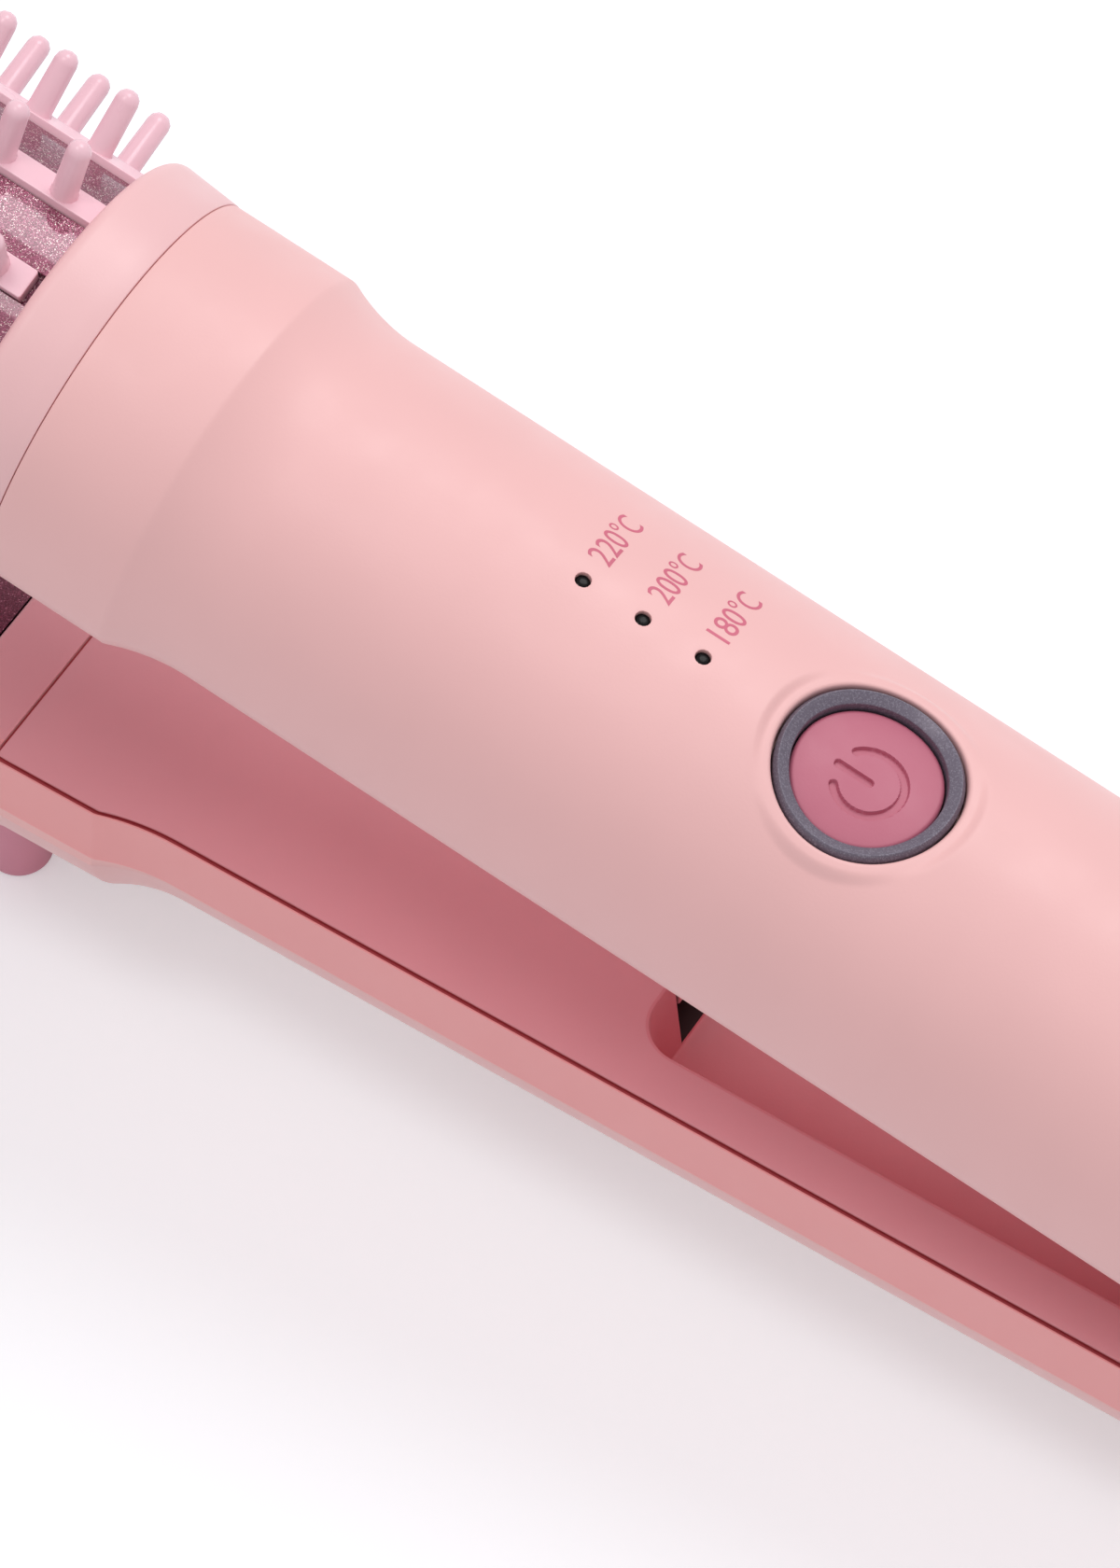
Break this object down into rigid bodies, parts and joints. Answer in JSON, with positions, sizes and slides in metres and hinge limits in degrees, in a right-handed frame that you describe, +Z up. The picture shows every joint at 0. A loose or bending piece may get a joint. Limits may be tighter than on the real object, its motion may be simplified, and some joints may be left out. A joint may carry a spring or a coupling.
{
  "type": "heated styling brush",
  "caption": "Clamp-style heated hair brush: half-round bristled barrels with flat heated plates on sprung, hinged arms, with a power button, pilot lights and a sliding closing lock.",
  "frame": {"origin": "middle of the underside of the overall box, on the surface that the brush lies on", "axes": "+X from the barrels' tips to the hinge end, +Y to the side with the printed temperatures, +Z up"},
  "size_m": [0.3497, 0.047, 0.1063],
  "materials": {
    "shell_pink": "satin gloss",
    "collar_pink": "gloss",
    "cover_rose": "satin",
    "lock_pink": "satin gloss",
    "barrel_glitter": "glitter paint on aluminium",
    "bristle_pink": "gloss",
    "tip_pink": "gloss",
    "plate_maroon": "glitter coating on aluminium",
    "heater_ceramic": "matte",
    "clip_aluminium": "mill finish",
    "sensor_metal": "satin",
    "terminal_cream": "matte",
    "lead_silicone": "matte",
    "ring_grey": "speckled satin",
    "button_rose": "satin",
    "board_green": "solder mask",
    "switch_black": "matte",
    "lamp_white": "diffuse",
    "lens_black": "gloss",
    "steel": "satin",
    "gland_rubber": "matte",
    "foot_rubber": "matte"
  },
  "bodies": {
    "lower_arm": {"lower_barrel": "barrel_glitter", "lower_bristle_rail_1": "bristle_pink", "lower_bristle_rail_2": "bristle_pink", "lower_bristle_rail_3": "bristle_pink", "lower_bristle_rail_4": "bristle_pink", "lower_bristle_rail_5": "bristle_pink", "lower_bristle_rail_6": "bristle_pink", "lower_collar": "collar_pink", "lower_cover": "cover_rose", "lower_cover_screws": "steel", "lower_heater": "heater_ceramic", "lower_heater_clip": "clip_aluminium", "lower_heater_leads": "lead_silicone", "lower_plate": "plate_maroon", "lower_shell": "shell_pink", "lower_terminal": "terminal_cream", "lower_thermal_sensor": "sensor_metal", "lower_tip_cap": "tip_pink", "tail_housing": "shell_pink", "hinge_pin": "steel", "pin_retainers": "steel", "torsion_spring": "steel", "rest_feet": "foot_rubber"},
    "upper_arm": {"upper_barrel": "barrel_glitter", "upper_bristle_rail_1": "bristle_pink", "upper_bristle_rail_2": "bristle_pink", "upper_bristle_rail_3": "bristle_pink", "upper_bristle_rail_4": "bristle_pink", "upper_bristle_rail_5": "bristle_pink", "upper_bristle_rail_6": "bristle_pink", "upper_collar": "collar_pink", "upper_cover": "cover_rose", "upper_cover_screws": "steel", "upper_heater": "heater_ceramic", "upper_heater_clip": "clip_aluminium", "upper_heater_leads": "lead_silicone", "upper_plate": "plate_maroon", "upper_shell": "shell_pink", "upper_terminal": "terminal_cream", "upper_thermal_sensor": "sensor_metal", "upper_tip_cap": "tip_pink", "button_ring": "ring_grey", "control_board": "board_green", "push_switch": "switch_black", "light_pipes": "lens_black", "indicator_lamps": "lamp_white", "board_screws": "steel"},
    "power_button": {"power_button": "button_rose"},
    "closing_lock": {"lock_slider": "lock_pink", "lock_pad": "lock_pink"},
    "cord_gland": {"cord_gland": "gland_rubber"}
  },
  "joints": [
    {"name": "arm_hinge", "type": "hinge", "parent": "lower_arm", "child": "upper_arm", "pos_m": [0.15069, 0, 0.02127], "axis": [0, -1, 0], "range_deg": [0, 9], "stiffness_Nm_per_rad": 1.5, "springref_deg": -20.05, "deforming": ["torsion_spring"]},
    {"name": "button_press", "type": "slide", "parent": "upper_arm", "child": "power_button", "axis": [-0.1908, 0, -0.9816], "range_m": [0, 0.0006], "stiffness_N_per_m": 800, "springref_m": -0.001},
    {"name": "lock_slide", "type": "slide", "parent": "lower_arm", "child": "closing_lock", "axis": [0.9994, 0, -0.0349], "range_m": [0, 0.004]},
    {"name": "cord_swivel", "type": "hinge", "parent": "lower_arm", "child": "cord_gland", "pos_m": [0.1704, 0, 0.02059], "axis": [0.9994, 0, -0.0349], "continuous": true}
  ]
}
